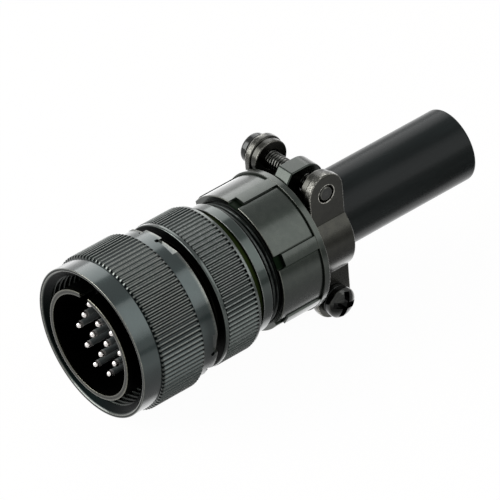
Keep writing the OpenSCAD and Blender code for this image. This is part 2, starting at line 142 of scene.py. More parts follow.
def meshOf(name, points, faces, wear, depth, sharpAngle=42):
    mesh = bpy.data.meshes.new(name)
    mesh.from_pydata((np.asarray(points) * mm).tolist(), [], faces)
    for label, values in (("wear", wear), ("depth", depth)):
        layer = mesh.attributes.new(label, "FLOAT", "POINT")
        layer.data.foreach_set("value", np.asarray(values, np.float32))
    shape = bmesh.new()
    shape.from_mesh(mesh)
    bmesh.ops.recalc_face_normals(shape, faces=shape.faces)
    shape.to_mesh(mesh)
    shape.free()
    mesh.shade_smooth()
    mesh.set_sharp_from_angle(angle=math.radians(sharpAngle))
    return mesh


def turnedMesh(name, rows, segments, warp=None):
    # a closed ring of rows
    points, wear, depth = turnedPoints(rows, segments, warp)
    return meshOf(name, points, ringQuads(0, len(rows), segments, True), wear, depth)


def knurledMesh(name, outerRows, fineCount, knurl, innerRows, coarseCount, thread):
    # a fine outside for the flutes, a coarser inside
    a, aWear, aDepth = turnedPoints(outerRows, fineCount, knurl)
    b, bWear, bDepth = turnedPoints(innerRows, coarseCount, thread)
    faces = ringQuads(0, len(outerRows), fineCount) + ringQuads(len(a), len(innerRows), coarseCount)
    faces += joinRings(len(a) - fineCount, fineCount, len(a), coarseCount)
    faces += joinRings(0, fineCount, len(a) + len(b) - coarseCount, coarseCount)
    return meshOf(name, np.concatenate((a, b)), faces, np.concatenate((aWear, bWear)),
                  np.concatenate((aDepth, bDepth)))


# pieces and cutters

def addObject(name, data):
    piece = bpy.data.objects.new(name, data)
    bpy.context.scene.collection.objects.link(piece)
    return piece


def cutterOf(shape, place):
    bmesh.ops.transform(shape, matrix=place, verts=shape.verts)
    cutter = addObject("cutter", bpy.data.meshes.new("cutter"))
    shape.to_mesh(cutter.data)
    shape.free()
    return cutter


def blockAt(low, high, turn=None):
    # plain cutting block between two corners
    shape = bmesh.new()
    bmesh.ops.create_cube(shape, size=1)
    size = Vector(high) - Vector(low)
    centre = (Vector(high) + Vector(low)) / 2
    place = Matrix.Translation(centre * mm) @ Matrix.Diagonal((*(size * mm), 1))
    return cutterOf(shape, (turn or Matrix()) @ place)


def pinAcross(x, z, radius, y0, y1, segments=48):
    # plain cutting pin along Y
    shape = bmesh.new()
    bmesh.ops.create_cone(shape, cap_ends=True, segments=segments, radius1=radius * mm,
                          radius2=radius * mm, depth=(y1 - y0) * mm)
    place = Matrix.Translation(Vector((x, (y0 + y1) / 2, z)) * mm) @ Matrix.Rotation(math.pi / 2, 4, "X")
    return cutterOf(shape, place)


def cutWith(piece, cutters, sharpAngle=35):
    for cutter in cutters:
        change = piece.modifiers.new("cut", "BOOLEAN")
        change.operation, change.solver, change.object = "DIFFERENCE", "EXACT", cutter
    bpy.context.view_layer.update()
    shaped = piece.evaluated_get(bpy.context.evaluated_depsgraph_get())
    mesh = bpy.data.meshes.new_from_object(shaped)
    piece.modifiers.clear()
    piece.data = mesh
    for cutter in cutters:
        bpy.data.objects.remove(cutter)
    mesh.shade_smooth()
    mesh.set_sharp_from_angle(angle=math.radians(sharpAngle))


def joinInto(piece, others):
    bpy.ops.object.select_all(action="DESELECT")
    for part in [piece] + others:
        part.select_set(True)
    bpy.context.view_layer.objects.active = piece
    bpy.ops.object.join()


def evenShading(piece):
    facing = piece.modifiers.new("faceNormals", "WEIGHTED_NORMAL")
    facing.keep_sharp = True


def dress(piece, body, material, node):
    piece.data.materials.clear()
    piece.data.materials.append(material)
    evenShading(piece)
    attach(piece, body)
    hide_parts(node)
    print("piece", piece.name, len(piece.data.polygons), "faces")


# threads and flutes

rowGap = 0.05  # between a thread's end and the next row


def threadHeight(x, angle, pitch):
    # 0 in the valley, 1 on the crest of a right-hand thread
    steep = 3.4  # leaves narrow flats on the crest and in the valley
    t = (x / pitch - angle / math.tau) % 1.0
    return np.clip(steep * (0.5 - np.abs(t - 0.5)), 0.0, 1.0)


def threadRows(start, stop, pitch, perTurn, radius, wear):
    step = math.copysign(pitch / perTurn, stop - start)
    return [(x, radius, wear) for x in np.arange(start, stop, step)]


def fluteDepth(angle, count):
    # 0 on top of a flute's round back, 1 at the bottom of the round groove beside it
    away = 1 - 2 * np.abs((angle * count / math.tau) % 1.0 - 0.5)
    return (1 - np.cos(math.pi * away)) / 2


def lowSide(angle):
    # 0 on top, 1 at the sides and below
    start, fade = 1.0, 0.3  # radians from the top
    return np.clip((np.abs((angle + math.pi) % math.tau - math.pi) - start) / fade, 0, 1)


def fluteShade(cut, angle, fromEnd, look):
    # painted shade on the flutes: on the flanks above, in the grooves at the sides and below, and in dark
    # pits where the grooves end; painted sheen on the crests, and above also in the grooves, with some real
    # rubbing
    below = lowSide(angle)
    crest, valley = (1 - cut) ** 2, cut ** 2
    flank = 16 * crest * valley  # 1 halfway down
    # painted shade on the flanks above and in the grooves below
    flankAndGrooveShade = look["flankAndGrooveShade"] * (flank + below * (valley - flank))
    # painted sheen with some real rubbing, taken off the flanks
    rubAndSheen = look["polishAndSheen"] * (crest + (1 - below) * valley) * (1 - look["flankSheenCut"] * flank)
    # painted shadow in the pits where the grooves end
    pitShade = look["pitShadeLevel"] * max(0.0, 1 - fromEnd / look["pit"]) * valley
    return np.clip(flankAndGrooveShade + pitShade, 0, 1), rubAndSheen


# finishes

def put(tree, kind, settings=None, **inputs):
    # inputs go by name, or by number as i0, i1 and so on
    node = tree.nodes.new("ShaderNode" + kind)
    for key, value in (settings or {}).items():
        setattr(node, key, value)
    for key, value in inputs.items():
        numbered = key[0] == "i" and key[1:].isdigit()
        socket = node.inputs[int(key[1:]) if numbered else key]
        if isinstance(value, bpy.types.NodeSocket):
            tree.links.new(value, socket)
        else:
            socket.default_value = value
    return node


def emptyTree(holder, outputKind):
    holder.use_nodes = True
    tree = holder.node_tree
    tree.nodes.clear()
    return tree, put(tree, outputKind).inputs[0]


def newFinish(name):
    material = bpy.data.materials.new(name)
    tree, surface = emptyTree(material, "OutputMaterial")
    shader = put(tree, "BsdfPrincipled")
    tree.links.new(shader.outputs[0], surface)
    return material, tree, shader


def noise(tree, place, size, detail=3.0, roughness=0.6):
    # size is the grain in millimetres
    return put(tree, "TexNoise", Vector=place, Scale=1 / (size * mm), Detail=detail,
               Roughness=roughness).outputs["Fac"]


def blend(tree, amount, first, second):
    return put(tree, "Mix", {"data_type": "RGBA"}, i0=amount, i6=first, i7=second).outputs[2]


def spread(tree, value, low, high, fromLow=0.3, fromHigh=0.7):
    # noise mostly lies between 0.3 and 0.7
    return put(tree, "MapRange", i0=value, i1=fromLow, i2=fromHigh, i3=low, i4=high).outputs[0]


def reckon(tree, operation, a, b, clamp=False):
    return put(tree, "Math", {"operation": operation, "use_clamp": clamp}, i0=a, i1=b).outputs[0]


def times(tree, a, b):
    return reckon(tree, "MULTIPLY", a, b, True)


def vertexValue(tree, name):
    return put(tree, "Attribute", {"attribute_name": name}).outputs["Fac"]


def grainBump(tree, shader, height, look):
    bump = put(tree, "Bump", Strength=look["bump"], Distance=look["bumpDepth"] * mm, Height=height)
    tree.links.new(bump.outputs[0], shader.inputs["Normal"])
    tree.links.new(bump.outputs[0], shader.inputs["Coat Normal"])


def platedFinish(name, look):
    # dark plated metal: depth blends in the matt groove colour, painted shade in hollows and on shaded faces,
    # and the olive groove floor's own colour; wear blends in rubbed metal, real wear and painted sheen
    material, tree, shader = newFinish(name)
    place = put(tree, "TexCoord").outputs["Object"]
    broad, fine = noise(tree, place, look["patch"], detail=2), noise(tree, place, look["grain"], detail=4)
    depth, wear = vertexValue(tree, "depth"), vertexValue(tree, "wear")
    face = blend(tree, spread(tree, broad, 0, 1), look["dark"], look["light"])
    # painted shade: depth darkens towards the groove colour
    face = blend(tree, depth, face, look["groove"])
    rubbed = times(tree, wear, spread(tree, fine, look["rubLow"], look["rubHigh"]))
    rubbed = times(tree, rubbed, spread(tree, depth, 1, 0, 0, 1))
    tree.links.new(blend(tree, rubbed, face, look["worn"]), shader.inputs["Base Color"])
    rough = spread(tree, fine, *look["gloss"])
    rough = reckon(tree, "ADD", rough, spread(tree, depth, 0, look["grooveRough"], 0, 1))
    tree.links.new(rough, shader.inputs["Roughness"])
    tree.links.new(spread(tree, depth, look["coat"], 0, 0, 1), shader.inputs["Coat Weight"])
    shader.inputs["Metallic"].default_value = look["metallic"]
    shader.inputs["Coat Roughness"].default_value = look["coatRough"]
    shader.inputs["Coat IOR"].default_value = look["coatIor"]
    grainBump(tree, shader, fine, look)
    return material


nutLook = {"patch": 6.0, "grain": 0.3, "dark": (0.010, 0.019, 0.018, 1), "light": (0.016, 0.027, 0.026, 1),
           "groove": (0.001, 0.002, 0.002, 1), "worn": (0.34, 0.33, 0.28, 1), "rubLow": 0.0, "rubHigh": 1.0,
           "gloss": (0.20, 0.28), "grooveRough": 0.25, "metallic": 1.0, "coat": 1.0, "coatRough": 0.13,
           "coatIor": 1.45, "bump": 0.02, "bumpDepth": 0.008}
nutMetal = platedFinish("nutMetal", nutLook)
bellLook = {**nutLook, "dark": (0.006, 0.014, 0.011, 1), "light": (0.011, 0.021, 0.017, 1),
            "worn": (0.37, 0.38, 0.36, 1)}
bellMetal = platedFinish("bellMetal", bellLook)
oliveLook = {**nutLook, "dark": (0.006, 0.011, 0.002, 1), "light": (0.012, 0.018, 0.005, 1),
             "groove": (0.009, 0.014, 0.003, 1)}
oliveMetal = platedFinish("oliveMetal", oliveLook)
barrelLook = {**nutLook, "dark": (0.008, 0.009, 0.004, 1), "light": (0.014, 0.015, 0.008, 1),
              "groove": (0.001, 0.001, 0.001, 1), "worn": (0.34, 0.33, 0.26, 1), "coat": 0.6}
barrelMetal = platedFinish("barrelMetal", barrelLook)
clampLook = {**nutLook, "patch": 1.6, "grain": 0.24, "dark": (0.004, 0.010, 0.005, 1),
             "light": (0.012, 0.018, 0.012, 1), "groove": (0.004, 0.008, 0.004, 1), "gloss": (0.24, 0.34),
             "coatRough": 0.17, "bump": 0.14, "bumpDepth": 0.016}
clampMetal = platedFinish("clampMetal", clampLook)
saddleLook = {**clampLook, "grain": 0.3, "dark": (0.006, 0.006, 0.003, 1), "light": (0.013, 0.013, 0.008, 1),
              "worn": (0.52, 0.51, 0.46, 1), "rubLow": -0.3, "coat": 0.62, "coatRough": 0.24}
saddleMetal = platedFinish("saddleMetal", saddleLook)
screwLook = {**nutLook, "grain": 0.12, "dark": (0.002, 0.003, 0.003, 1), "light": (0.005, 0.006, 0.005, 1),
             "worn": (0.12, 0.12, 0.10, 1), "coat": 0.7, "coatRough": 0.12}
screwMetal = platedFinish("screwMetal", screwLook)
plainLook = {**nutLook, "dark": (0.30, 0.30, 0.28, 1), "light": (0.42, 0.42, 0.40, 1), "coat": 0.0}
plainMetal = platedFinish("plainMetal", plainLook)


def pinFinish(look):
    # bright round tips; the shafts behind them painted dark, painted shade inside the barrel
    material, tree, shader = newFinish("pinMetal")
    place = put(tree, "TexCoord").outputs["Object"]
    along = put(tree, "SeparateXYZ", Vector=place).outputs[0]
    fine = noise(tree, place, look["grain"])
    # painted shade on the shafts behind the tips
    back = spread(tree, along, 0, 1, look["brightTo"] * mm, look["darkFrom"] * mm)
    tip = blend(tree, spread(tree, fine, 0, 1), look["tipDark"], look["tipLight"])
    tree.links.new(blend(tree, back, tip, look["shadedShaft"]), shader.inputs["Base Color"])
    tree.links.new(spread(tree, fine, *look["gloss"]), shader.inputs["Roughness"])
    tree.links.new(spread(tree, back, *look["metallic"], 0, 1), shader.inputs["Metallic"])
    grainBump(tree, shader, fine, look)
    return material


pinTip = span("contact_01")[0].x
pinMetal = pinFinish({"grain": 0.2, "brightTo": pinTip + 0.7, "darkFrom": pinTip + 1.5,
                      "tipDark": (0.62, 0.58, 0.56, 1), "tipLight": (0.80, 0.77, 0.75, 1),
                      "shadedShaft": (0.09, 0.10, 0.10, 1), "gloss": (0.08, 0.16), "metallic": (1.0, 0.15),
                      "bump": 0.1, "bumpDepth": 0.004})


def mouldedFinish(name, look):
    # moulded black stuff with a fine skin; draw stretches its patches
    material, tree, shader = newFinish(name)
    place = put(tree, "TexCoord").outputs["Object"]
    drawn = put(tree, "Mapping", Vector=place, Scale=look["draw"]).outputs[0]
    broad, fine = noise(tree, drawn, look["patch"]), noise(tree, place, look["grain"], detail=4)
    tone = blend(tree, spread(tree, broad, 0, 1), look["dark"], look["light"])
    tree.links.new(tone, shader.inputs["Base Color"])
    tree.links.new(spread(tree, broad, *look["gloss"]), shader.inputs["Roughness"])
    shader.inputs["Specular IOR Level"].default_value = look["specular"]
    grainBump(tree, shader, fine, look)
    return material


rubber = mouldedFinish("blackRubber", {
    "draw": (0.12, 1, 1), "patch": 2.5, "grain": 0.25, "dark": (0.005, 0.007, 0.007, 1),
    "light": (0.009, 0.012, 0.012, 1), "gloss": (0.22, 0.28), "specular": 0.10,
    "bump": 0.12, "bumpDepth": 0.02})
insulator = mouldedFinish("blackInsulator", {
    "draw": (1, 1, 1), "patch": 3.0, "grain": 0.3, "dark": (0.004, 0.004, 0.004, 1),
    "light": (0.008, 0.008, 0.008, 1), "gloss": (0.5, 0.65), "specular": 0.3,
    "bump": 0.1, "bumpDepth": 0.02})
print("finishes ready")


# coupling nut

nut = {"flutes": 96, "perFlute": 12, "innerSegments": 192, "perTurn": 12,
       "bandLength": 4.95, "bandDrop": 0.7, "rim": 0.65, "rimSeam": (0.2, 0.35), "rimShade": 0.9,
       "mouthRow": 0.3, "mouthShade": (0.08, 0.2),
       "knurlLength": 11.7, "knurlDepth": 0.45, "knurlSteps": (0.02, 0.06), "cone": 0.45, "coneEdge": 0.08,
       "coneRub": 0.2,
       "polishAndSheen": 0.30, "flankAndGrooveShade": 0.85, "flankSheenCut": 0.7, "pit": 0.7, "pitShadeLevel": 2.0, "skirtShade": 0.4,
       "skirtDrop": 1.0, "skirtWall": 1.45, "tabs": 3, "tabWidth": 5.5, "tabTurn": -7.0,
       "flatDepth": 0.8, "flatLength": 1.4, "flatRub": 0.15, "tabHole": 0.5, "holeFloor": 0.1,
       "lip": 3.2, "lipSeam": (0.4, 0.9), "counterbore": 1.5, "neckFit": 4.67,
       "threadStart": 1.5, "threadEnd": 11.5, "threadDrop": 3.15, "threadDepth": 0.8, "threadPitch": 1.41,
       "threadRelief": 0.2, "threadLead": 0.1, "threadFade": 0.5, "threadRub": 0.25, "crestUnshaded": 0.4}


def makeNut():
    low, high = span("coupling_nut")
    front, rear, crest = low.x, high.x, high.y
    root = crest - nut["knurlDepth"]
    band, skirt = crest - nut["bandDrop"], crest - nut["skirtDrop"]
    rimInner = band - nut["rim"]
    knurlStart = front + nut["bandLength"]
    knurlEnd = knurlStart + nut["knurlLength"]
    flatStart = rear - nut["flatLength"]
    bore, neck = skirt - nut["skirtWall"], crest - nut["neckFit"]
    lipEnd = rear - nut["counterbore"]
    lipStart = lipEnd - nut["lip"]
    thread = crest - nut["threadDrop"]
    threadRoot = thread + nut["threadDepth"]
    threadFrom, threadTo = front + nut["threadEnd"], front + nut["threadStart"]
    # the fine outside meets the coarse inside on the rim, out from its inner edge,
    # and on the lip, in from the bore
    (rimIn, rimOut), (lipOut, lipIn) = nut["rimSeam"], nut["lipSeam"]
    frontStep, rearStep = nut["knurlSteps"]

    # sloped end of the knurl, as (distance from its end, radius, wear)
    ramp = [(nut["cone"] * t, root + nut["knurlDepth"] * t, nut["coneRub"] * t)
            for t in (0, 0.3, 0.6, 0.85, 1)]
    ramp += [(nut["cone"] + nut["coneEdge"], crest, 0), (nut["pit"], crest, 0)]
    acrossHole = [0.02, 0.35, 0.65, 0.9, 1.02]  # rows at these shares of a tab hole's radius
    holeRows = [-t for t in acrossHole[::-1]] + acrossHole
    outer = [(front, rimInner + rimOut, 0, 0), (front, band, 0.16, 0.9), (knurlStart - frontStep, band, 0, 0)]
    outer += [(knurlStart + x, r, 0, w) for x, r, w in ramp]
    outer += [(knurlEnd - x, r, 0, w) for x, r, w in ramp[::-1]]
    outer += [(knurlEnd + rearStep, skirt, 0, 0)]
    outer += [(flatStart + nut["tabHole"] * t, skirt, 0, 0) for t in holeRows]
    outer += [(rear, skirt, 0.12, 1.0), (rear, bore, 0.1, 0.8), (lipEnd, bore, 0.05, 0),
              (lipEnd, bore - lipOut, 0, 0)]
    inner = [(lipEnd, bore - lipIn, 0, 0), (lipEnd, neck, 0.1, 0.3), (lipStart, neck, 0.1, 0.3),
             (lipStart, threadRoot, 0.1, 0), (threadFrom + nut["threadRelief"], threadRoot, 0, 0)]
    turns = threadRows(threadFrom, threadTo, nut["threadPitch"], nut["perTurn"], thread, nut["threadRub"])
    coneTop, coneEnd = thread + nut["threadLead"], threadTo - nut["threadLead"]
    lean = (coneTop - rimInner) / (coneEnd - front)
    mouth = [(coneEnd, coneTop, 0, 0), (front + nut["mouthRow"], rimInner + nut["mouthRow"] * lean, 0, 0),
             (front, rimInner, 0.1, 0.9), (front, rimInner + rimIn, 0, 0)]

    def knurl(xs, rs, angle):
        x, depth, rubAndSheen = xs[0], np.zeros_like(rs), np.zeros_like(rs)
        if knurlStart - nearby < x < knurlEnd + nearby:
            cut = fluteDepth(angle, nut["flutes"])
            depth, rubAndSheen = fluteShade(cut, angle, min(x - knurlStart, knurlEnd - x), nut)
            rs = np.minimum(rs, crest - nut["knurlDepth"] * cut)
        onRim = x < front + touching and rs[0] < band - 0.2
        onSkirt = x > knurlEnd + 0.2 and rs[0] > bore + nearby
        # painted shade on the front rim's face
        if onRim:
            depth = depth + nut["rimShade"]
        if not onSkirt:
            return xs, rs, depth, rubAndSheen
        # flats on both sides of each tab, and a round hole at each foot of it
        share = math.tau / nut["tabs"]
        turned = (angle - math.radians(nut["tabTurn"]) + share / 2) % share - share / 2
        beside = np.abs(turned) - math.asin(nut["tabWidth"] / 2 / skirt)
        flat = (skirt - nut["flatDepth"]) / np.cos(beside)
        onFlat = (x > flatStart) & (beside > 0) & (flat < skirt)
        inHole = np.hypot(x - flatStart, skirt * beside) < nut["tabHole"]
        rs = np.where(onFlat, np.minimum(rs, flat), rs)
        rs = np.where(inHole, bore + nut["holeFloor"], rs)
        # painted shade: the skirt darker towards the bottom, and black in the tab holes
        skirtShade = np.where(inHole, 1.0, nut["skirtShade"] * lowSide(angle))
        return xs, rs, skirtShade, np.where(onFlat, nut["flatRub"], 0.0)

    def coupling(xs, rs, angle):
        x = xs[0]
        if threadTo <= x <= threadFrom and abs(rs[0] - thread) < touching:
            height = threadHeight(xs, angle, nut["threadPitch"])
            fade = np.clip((x - threadTo) / nut["threadFade"], 0, 1)
            # painted shade in the thread's valleys
            return xs, rs + nut["threadDepth"] * (1 - height * fade), 1 - nut["crestUnshaded"] * height
        # painted shade on the rim's front face
        if rs[0] > rimInner + 0.15:
            return xs, rs, np.full_like(rs, nut["rimShade"])
        # painted shade inside the mouth, behind its edge
        darkFrom, darkOver = nut["mouthShade"]  # the mouth darkens behind its edge
        return xs, rs, np.full_like(rs, np.clip((x - front - darkFrom) / darkOver, 0, 1))

    mesh = knurledMesh("couplingNut", roundedRows(outer), nut["flutes"] * nut["perFlute"], knurl,
                       roundedRows(inner) + turns + roundedRows(mouth), nut["innerSegments"], coupling)
    dress(addObject("couplingNut", mesh), "nut", nutMetal, "coupling_nut")


makeNut()


# end bell

bell = {"flutes": 94, "perFlute": 12, "innerSegments": 376, "perTurn": 12,
        "frontRim": 0.95, "rearRim": 0.75, "rimDrop": 0.15, "rimShade": 0.95, "frontSeam": (0.6, 1.2),
        "rearSeam": (0.8, 1.3),
        "knurlLength": 8.35, "knurlDepth": 0.45, "knurlStep": 0.03, "polishAndSheen": 0.34, "flankAndGrooveShade": 0.85,
        "flankSheenCut": 0.7, "pit": 0.6, "pitShadeLevel": 2.0,
        "groove": 2.2, "grooveDrop": 2.45, "band": 2.55, "bandDrop": 1.85,
        "threadDrop": 2.7, "threadDepth": 0.55, "threadPitch": 1.27, "threadGap": 0.45, "threadStop": 0.5,
        "tipDrops": (0.1, 0.5), "threadRub": 0.35, "crestUnshaded": 0.3,
        "boreDrop": 3.6, "boreLength": 7.65, "boreCone": 1.55, "spaceDrop": 5.15}


def makeBell():
    low, high = span("end_bell")
    front, rear, crest = low.x, high.x, high.y
    rim, root = crest - bell["rimDrop"], crest - bell["knurlDepth"]
    knurlStart = front + bell["frontRim"]
    knurlEnd = knurlStart + bell["knurlLength"]
    rimEnd = knurlEnd + bell["rearRim"]
    grooveEnd = rimEnd + bell["groove"]
    bandEnd = grooveEnd + bell["band"]
    groove, band = crest - bell["grooveDrop"], crest - bell["bandDrop"]
    thread = crest - bell["threadDrop"]
    threadRoot = thread - bell["threadDepth"]
    bore, space = crest - bell["boreDrop"], crest - bell["spaceDrop"]
    boreEnd = front + bell["boreLength"]
    step, pit = bell["knurlStep"], bell["pit"]
    threadFrom, threadTo = bandEnd + bell["threadGap"], rear - bell["threadStop"]
    tipStart, tipEnd = (thread - drop for drop in bell["tipDrops"])
    # the fine outside meets the coarse inside in front, out from the bore, and behind, in from the rim
    (frontIn, frontOut), (rearOut, rearIn) = bell["frontSeam"], bell["rearSeam"]

    # end of the knurl, as (distance from its end, radius, wear)
    ramp = [(0, root, 0), (step, crest, 0.3), (pit / 2, crest, 0), (pit, crest, 0)]
    outer = [(front, bore + frontOut, 0, 0.1), (front, rim, 0.4, 0.2), (knurlStart - step, rim, 0, 0.1)]
    outer += [(knurlStart + x, r, 0, w) for x, r, w in ramp]
    outer += [(knurlEnd - x, r, 0, w) for x, r, w in ramp[::-1]]
    outer += [(knurlEnd + step, rim, 0, 0.2), (rimEnd, rim, 0.25, 0.5), (rimEnd, rim - rearOut, 0, 0)]
    tail = [(rimEnd, rim - rearIn, 0, 0), (rimEnd, groove, 0.12, 0), (grooveEnd, groove, 0.12, 0),
            (grooveEnd, band, 0.2, 0.7), (bandEnd, band, 0.2, 0.7), (bandEnd, threadRoot, 0.05, 0),
            (threadFrom - rowGap, threadRoot, 0, 0)]
    turns = threadRows(threadFrom, threadTo, bell["threadPitch"], bell["perTurn"], thread, bell["threadRub"])
    inside = [(threadTo + rowGap, tipStart, 0, 0.2), (rear, tipEnd, 0.1, 0.4), (rear, space, 0.12, 0.4),
              (boreEnd + bell["boreCone"], space, 0.1, 0), (boreEnd, bore, 0.1, 0), (front, bore, 0.15, 0.5),
              (front, bore + frontIn, 0, 0.1)]

    def knurl(xs, rs, angle):
        x, depth, rubAndSheen = xs[0], np.zeros_like(rs), np.zeros_like(rs)
        # painted shade on the front face
        if x < front + 0.1:
            depth = depth + bell["rimShade"]
        if knurlStart - nearby < x < knurlEnd + nearby:
            cut = fluteDepth(angle, bell["flutes"])
            rs = np.minimum(rs, crest - bell["knurlDepth"] * cut)
            depth, rubAndSheen = fluteShade(cut, angle, min(x - knurlStart, knurlEnd - x), bell)
        return xs, rs, depth, rubAndSheen

    def rearThread(xs, rs, angle):
        if rimEnd < xs[0] < grooveEnd and rs[0] < band - 0.2:
            return xs, rs, np.ones_like(rs)
        if abs(rs[0] - thread) < touching:
            height = threadHeight(xs, angle, bell["threadPitch"])
            # painted shade in the thread's valleys
            return xs, rs - bell["threadDepth"] * (1 - height), 1 - bell["crestUnshaded"] * height
        return xs, rs, np.zeros_like(rs)

    mesh = knurledMesh("endBell", roundedRows(outer), bell["flutes"] * bell["perFlute"], knurl,
                       roundedRows(tail) + turns + roundedRows(inside), bell["innerSegments"], rearThread)
    dress(addObject("endBell", mesh), "plug", bellMetal, "end_bell")
    mesh.materials.append(oliveMetal)  # the groove's floor
    for face in mesh.polygons:
        x, y, z = face.center / mm
        face.material_index = int(rimEnd < x < grooveEnd and math.hypot(y, z) < band)


makeBell()


# shell with its slotted barrel

shell = {"segments": 256, "perTurn": 10, "barrelRadius": 13.3, "barrelBore": 12.2, "barrelDepth": 11.8,
         "unshadedTo": 1.4, "rimShade": 0.6, "wallRows": (11.0, 6.0, 2.0, 0.6),
         "shoulderStart": 14.4, "shoulderRadius": 15.15, "shoulderEnd": 17.0, "neck": 13.9,
         "ringStart": 20.5, "ringGroove": 13.2, "ringEnd": 21.7,
         "threadRadius": 13.8, "threadDepth": 0.5, "threadPitch": 1.27, "threadGap": 0.3, "threadStop": 0.4,
         "gapDrop": 0.4, "tipDrops": (0.3, 0.5), "threadRub": 0.3, "crestUnshaded": 0.5,
         "insertBore": 12.5, "keyWidth": 2.8, "keyLength": 8.0, "cutClear": 1.0}


def makeShell():
    low, high = span("plug_shell")
    front, rear = low.x, high.x
    s = shell
    barrel, bore, thread = s["barrelRadius"], s["barrelBore"], s["threadRadius"]
    rimMiddle = (bore + barrel) / 2
    threadFrom, threadTo = s["ringEnd"] + s["threadGap"], rear - s["threadStop"]
    tipStart, tipEnd = (thread - drop for drop in s["tipDrops"])
    head = [(front, bore, 0.1, 0.6), (front, rimMiddle, 0, 0), (front, barrel, 0.14, 0.9),
            (s["unshadedTo"], barrel, 0, 0), (s["shoulderStart"], barrel, 0.15, 0),
            (s["shoulderStart"], s["shoulderRadius"], 0.2, 0.2),
            (s["shoulderEnd"], s["shoulderRadius"], 0.2, 0.5), (s["shoulderEnd"], s["neck"], 0.1, 0),
            (s["ringStart"], s["neck"], 0.08, 0.3), (s["ringStart"], s["ringGroove"], 0.05, 0),
            (s["ringEnd"], s["ringGroove"], 0.05, 0), (s["ringEnd"], thread - s["gapDrop"], 0.05, 0.2)]
    turns = threadRows(threadFrom, threadTo, s["threadPitch"], s["perTurn"], thread, s["threadRub"])
    tail = [(threadTo + rowGap, tipStart, 0, 0), (rear, tipEnd, 0.05, 0.3),
            (rear, s["insertBore"], 0.1, 0.3), (s["barrelDepth"], s["insertBore"], 0.05, 0),
            (s["barrelDepth"], bore, 0.05, 0)]
    wall = [(x, bore, 0.0) for x in s["wallRows"]]

    def barrelShade(xs, rs, angle):
        # painted shade: the barrel is dark inside and behind its unshaded front, and the rim's middle is
        # darker
        x = xs[0]
        inside = rs[0] < bore + 0.05 and 0.5 < x < s["barrelDepth"] + 1
        behind = abs(rs[0] - barrel) < nearby and x > s["unshadedTo"] - nearby
        if inside or behind:
            return xs, rs, np.ones_like(rs)
        if x < front + touching and abs(rs[0] - rimMiddle) < 0.2:
            return xs, rs, np.full_like(rs, s["rimShade"])
        # painted shade in the thread's valleys
        if abs(rs[0] - thread) < touching:
            height = threadHeight(xs, angle, s["threadPitch"])
            return xs, rs - s["threadDepth"] * (1 - height), 1 - s["crestUnshaded"] * height
        return xs, rs, np.zeros_like(rs)

    rows = roundedRows(head) + turns + roundedRows(tail) + wall
    piece = addObject("plugShell", turnedMesh("plugShell", rows, s["segments"], barrelShade))
    half, clear = s["keyWidth"] / 2, s["cutClear"]
    keyway = blockAt((front - clear, -half, bore - clear), (front + s["keyLength"], half, barrel + clear))
    cutWith(piece, [keyway])
    dress(piece, "plug", barrelMetal, "plug_shell")


makeShell()


# rubber bushing

tube = {"segments": 192, "rows": 12, "rowMargin": 3.0, "boreRow": 20.0, "wall": 2.45, "radius": 8.75,
        "flangeLength": 1.75, "endRounding": 0.55}


def makeTube():
    low, high = span("bushing")
    front, rear, flange = low.x, high.x, high.z
    radius, bore = tube["radius"], tube["radius"] - tube["wall"]
    flangeEnd = front + tube["flangeLength"]
    corners = [(front, bore, 0.2, 0), (front, flange, 0.3, 0.5), (flangeEnd, flange, 0.3, 0.5),
               (flangeEnd, radius, 0.1, 0)]
    corners += [(x, radius, 0, 0) for x in
                np.linspace(flangeEnd + tube["rowMargin"], rear - tube["rowMargin"], tube["rows"])]
    corners += [(rear, radius, tube["endRounding"], 1), (rear, bore, 0.4, 0.6),
                (rear - tube["boreRow"], bore, 0, 0)]
    mesh = turnedMesh("rubberTube", roundedRows(corners), tube["segments"])
    dress(addObject("rubberTube", mesh), "plug", rubber, "bushing")


makeTube()


# clamp body: ribbed collar and two lugs

collar = {"segments": 720, "rows": 5, "rowMargin": 0.6, "bore": 14.8, "pad": 16.4,
          "ribs": 6, "ribWidth": 3.0, "ribTurn": 3.0, "ribHeight": 0.5, "ribSlope": 0.3,
          "footAt": 0.6, "footWidth": 0.7, "flangeShadow": 0.1, "seamRows": (0.16, 0.02),
          "notchLength": 1.8, "notchDepth": 0.5, "notchSide": 0.1, "notchStep": 0.05,
          "flangeLength": 1.5, "flange": 17.0,
          "wall": 3.4, "channel": 8.9, "screwBehind": 6.0, "screwOffset": 14.2, "holeRadius": 2.43}
lug = {"width": 4.6, "radius": 4.4, "shift": 1.5, "slope": 1.7, "sunk": 0.8, "tubeFit": 0.1, "footDrop": 0.3,
       "arcPoints": 37, "edge": 0.35, "edgeFrom": 25, "matt": 0.3, "drill": 8.0}


